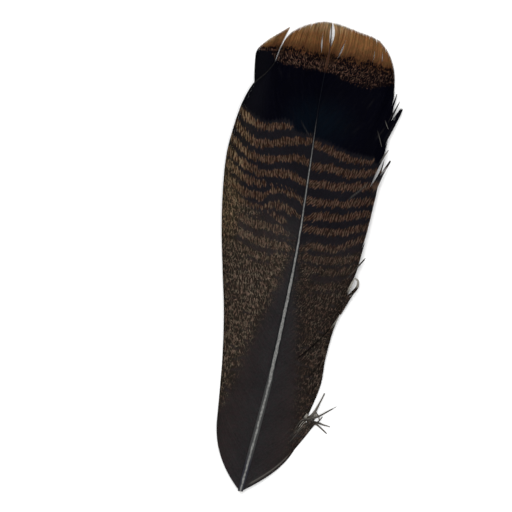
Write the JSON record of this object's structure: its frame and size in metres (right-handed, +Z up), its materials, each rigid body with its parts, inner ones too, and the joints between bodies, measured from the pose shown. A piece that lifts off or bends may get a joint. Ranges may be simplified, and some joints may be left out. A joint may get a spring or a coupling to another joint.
{
  "type": "turkey tail feather",
  "caption": "Turkey tail feather lying flat: tan tip, black band, wavy chestnut bars and a speckled dark base, with frayed barbs at one edge and the quill trimmed off.",
  "frame": {"origin": "under the middle of the feather, on the surface it lies on", "axes": "+Y from the cut end of the shaft to the tip, +X to the feather's right, +Z up out of its upper side"},
  "size_m": [0.0966, 0.2778, 0.0086],
  "materials": {
    "vane": "soft matt barbs with a faint silky sheen",
    "shaft": "satin horn, pale above"
  },
  "bodies": {
    "root": {"feather": "vane"}
  },
  "joints": []
}
